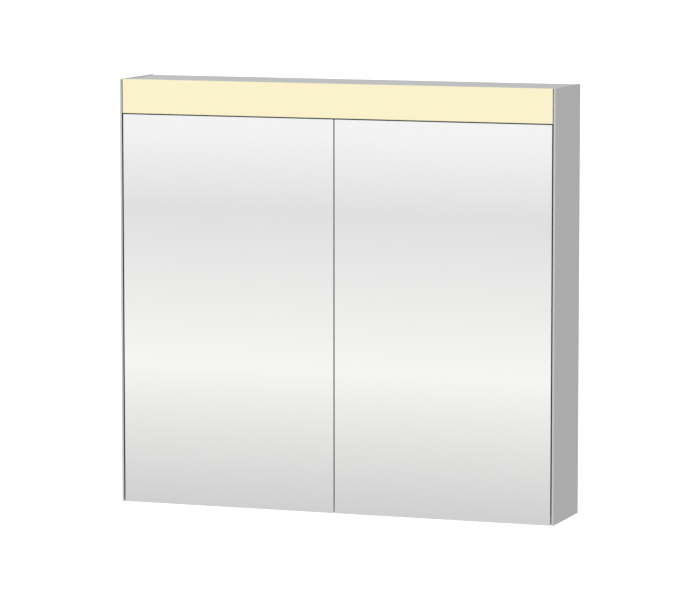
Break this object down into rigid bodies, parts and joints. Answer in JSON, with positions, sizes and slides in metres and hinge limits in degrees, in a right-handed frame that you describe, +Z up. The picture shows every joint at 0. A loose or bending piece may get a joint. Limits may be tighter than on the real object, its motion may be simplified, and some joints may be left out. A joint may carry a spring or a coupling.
{
  "type": "mirror cabinet",
  "caption": "Wall-hung bathroom cabinet with mirror doors on concealed hinges, a full-width lit strip above them, aluminium side plates, glass shelves and an inner power panel.",
  "frame": {"origin": "centre of the wall face: half of the width and half of the height, on the plane that lies on the wall", "axes": "+X to the right seen from the front, +Y into the wall, +Z up; the door fronts are at Y = -148 mm"},
  "size_m": [0.81, 0.148, 0.76],
  "materials": {
    "anodised_aluminium": "satin anodised",
    "grey_board": "light grey laminate, matt",
    "door_board": "light grey coated board",
    "mirror_glass": "silvered glass",
    "shelf_glass": "clear, polished edges",
    "nickel_plate": "nickel plated",
    "zinc_steel": "zinc plated",
    "clear_rubber": "soft, clear",
    "opal_acrylic": "opal, lit from behind",
    "white_sheet": "powder coated",
    "white_plastic": "satin moulded",
    "white_circuit": "white solder mask",
    "led_phosphor": "phosphor in silicone",
    "dark_rubber": "matt",
    "brass_contact": "plain"
  },
  "bodies": {
    "cabinet": {"bottom_panel": "grey_board", "cable_grommet": "dark_rubber", "centre_partition": "grey_board", "earth_contacts": "brass_contact", "hanger_adjust_screws": "zinc_steel", "hanger_brackets": "zinc_steel", "hanger_covers": "white_plastic", "hinge_arm_screws": "zinc_steel", "hinge_arms": "nickel_plate", "hinge_plate_screws": "zinc_steel", "hinge_plates": "nickel_plate", "internal_leads": "dark_rubber", "led_boards": "white_circuit", "led_chips": "led_phosphor", "led_driver": "white_plastic", "left_carcass_side": "grey_board", "left_lower_shelf": "shelf_glass", "left_rear_mirror": "mirror_glass", "left_side_plate": "anodised_aluminium", "left_upper_shelf": "shelf_glass", "light_deck": "grey_board", "light_diffuser": "opal_acrylic", "light_end_caps": "white_plastic", "light_tray": "white_sheet", "lower_wall_washers": "zinc_steel", "power_panel": "white_plastic", "rear_panel": "grey_board", "right_carcass_side": "grey_board", "right_lower_shelf": "shelf_glass", "right_rear_mirror": "mirror_glass", "right_side_plate": "anodised_aluminium", "right_upper_shelf": "shelf_glass", "service_cover": "white_sheet", "service_cover_screws": "zinc_steel", "shelf_support_sleeves": "clear_rubber", "shelf_supports": "zinc_steel", "socket_inserts": "white_plastic", "terminal_block": "white_plastic", "top_panel": "grey_board"},
    "left_door": {"left_door_bottom_rail": "door_board", "left_door_bumpers": "clear_rubber", "left_door_closing_stile": "door_board", "left_door_cup_screws": "zinc_steel", "left_door_front_mirror": "mirror_glass", "left_door_hinge_cups": "nickel_plate", "left_door_hinge_pins": "zinc_steel", "left_door_hinge_stile": "door_board", "left_door_rear_mirror": "mirror_glass", "left_door_top_rail": "door_board"},
    "right_door": {"right_door_bottom_rail": "door_board", "right_door_bumpers": "clear_rubber", "right_door_closing_stile": "door_board", "right_door_cup_screws": "zinc_steel", "right_door_front_mirror": "mirror_glass", "right_door_hinge_cups": "nickel_plate", "right_door_hinge_pins": "zinc_steel", "right_door_hinge_stile": "door_board", "right_door_rear_mirror": "mirror_glass", "right_door_top_rail": "door_board"},
    "rocker": {"power_rocker": "white_plastic"}
  },
  "joints": [
    {"name": "left_door_hinge", "type": "hinge", "parent": "cabinet", "child": "left_door", "pos_m": [-0.389, -0.1408, 0], "axis": [0, 0, -1], "range_deg": [0, 105]},
    {"name": "right_door_hinge", "type": "hinge", "parent": "cabinet", "child": "right_door", "pos_m": [0.389, -0.1408, 0], "axis": [0, 0, 1], "range_deg": [0, 105]},
    {"name": "light_switch", "type": "hinge", "parent": "cabinet", "child": "rocker", "pos_m": [0.236, -0.031, 0.27], "axis": [1, 0, 0], "range_deg": [0, 14]}
  ]
}
